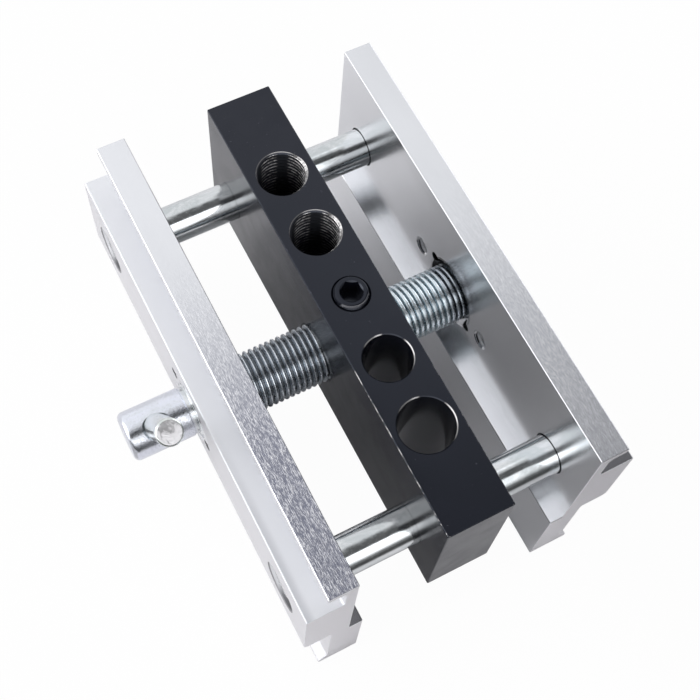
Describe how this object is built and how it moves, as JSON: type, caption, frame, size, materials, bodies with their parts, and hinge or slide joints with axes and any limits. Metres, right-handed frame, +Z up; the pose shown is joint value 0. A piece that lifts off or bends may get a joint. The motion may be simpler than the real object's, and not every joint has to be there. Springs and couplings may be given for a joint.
{
  "type": "self centering doweling jig",
  "caption": "Self-centring doweling jig: two aluminium jaws drawn together by a left and right hand screw under a drilled steel guide block.",
  "frame": {"origin": "middle of the guide block's underside, where the jig seats on the edge of the stock", "axes": "+X along the lead screw towards the jaw without the head, +Y along the jaws towards the tapped holes, +Z up through the guide holes"},
  "size_m": [0.0955, 0.1156, 0.0695],
  "materials": {
    "black_steel": "black oxide, satin",
    "jaw_aluminium": "bare extruded, satin, with brushed tops",
    "nut_steel": "zinc plated",
    "plated_steel": "bright zinc plated",
    "key_steel": "dark steel"
  },
  "bodies": {
    "block": {"guide_block": "black_steel", "far_guide_rod": "plated_steel", "near_guide_rod": "plated_steel", "block_set_screw": "black_steel"},
    "screw": {"lead_screw": "plated_steel", "t_bar": "plated_steel"},
    "left_jaw_body": {"left_jaw": "jaw_aluminium", "left_nut": "nut_steel", "left_nut_keys": "key_steel"},
    "right_jaw_body": {"right_jaw": "jaw_aluminium", "right_nut": "nut_steel", "right_nut_keys": "key_steel"}
  },
  "joints": [
    {"name": "left_jaw_slide", "type": "slide", "parent": "block", "child": "left_jaw_body", "axis": [1, 0, 0], "range_m": [0, 0.02011]},
    {"name": "right_jaw_slide", "type": "slide", "parent": "block", "child": "right_jaw_body", "axis": [-1, 0, 0], "range_m": [0, 0.02011]},
    {"name": "screw_turn", "type": "hinge", "parent": "block", "child": "screw", "pos_m": [0, 0, 0.0146], "axis": [1, 0, 0], "range_deg": [0, 5130]}
  ],
  "couplings": [
    {"joint": "screw_turn", "follows": "left_jaw_slide", "rad_per_m": 4452.6},
    {"joint": "right_jaw_slide", "follows": "left_jaw_slide", "ratio": 1}
  ]
}
